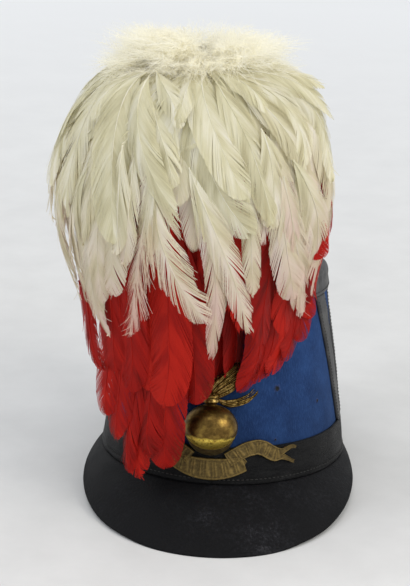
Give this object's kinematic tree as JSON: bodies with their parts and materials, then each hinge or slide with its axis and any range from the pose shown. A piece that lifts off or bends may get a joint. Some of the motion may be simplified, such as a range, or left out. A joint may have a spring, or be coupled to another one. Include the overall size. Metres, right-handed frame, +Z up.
{
  "type": "shako hat",
  "caption": "Tapering oval cloth shako with leather bands, peak and side chevrons, a brass grenade badge and a falling plume of white over red cock feathers.",
  "frame": {"origin": "on the surface that the hat rests on, under the middle of its bounding box", "axes": "+Z up, +X towards the wearer's left, -Y towards the front, where the peak and the badge are"},
  "size_m": [0.2016, 0.2548, 0.3056],
  "materials": {
    "cloth": "napped wool",
    "leather": "worn black, grained",
    "brass": "tarnished",
    "white_feather": "feather",
    "red_feather": "feather",
    "stem": "plain"
  },
  "bodies": {
    "root": {"body_shell": "cloth", "crown": "leather", "top_band": "leather", "rim_band": "leather", "chevron_left": "leather", "chevron_right": "leather", "peak": "leather", "badge_ball": "brass", "badge_flame": "brass", "badge_ribbon": "brass", "plume_stem": "stem", "red_feathers": "red_feather", "white_feathers": "white_feather"}
  },
  "joints": []
}
